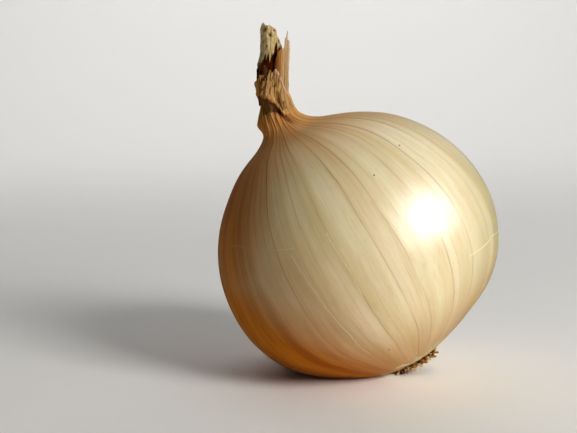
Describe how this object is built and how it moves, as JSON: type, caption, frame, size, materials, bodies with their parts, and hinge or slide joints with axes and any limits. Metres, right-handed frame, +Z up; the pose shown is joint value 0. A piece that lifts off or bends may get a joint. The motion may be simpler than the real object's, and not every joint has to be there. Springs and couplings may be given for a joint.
{
  "type": "onion",
  "caption": "Whole globe onion with papery skin, a torn dry neck with a leaf stub standing up, and a basal plate with dried root stubs, lying tipped on its side.",
  "frame": {"origin": "on the table, under the middle of the whole onion's box", "axes": "+Z up, +X towards the root end, -Y towards the side that the picture shows"},
  "size_m": [0.0836, 0.0844, 0.1047],
  "materials": {
    "skin": null,
    "dry_leaf": null,
    "dry_root": null
  },
  "bodies": {
    "root": {"bulb": "skin", "inner_sheath": "dry_leaf", "root_plate": "dry_root"}
  },
  "joints": []
}
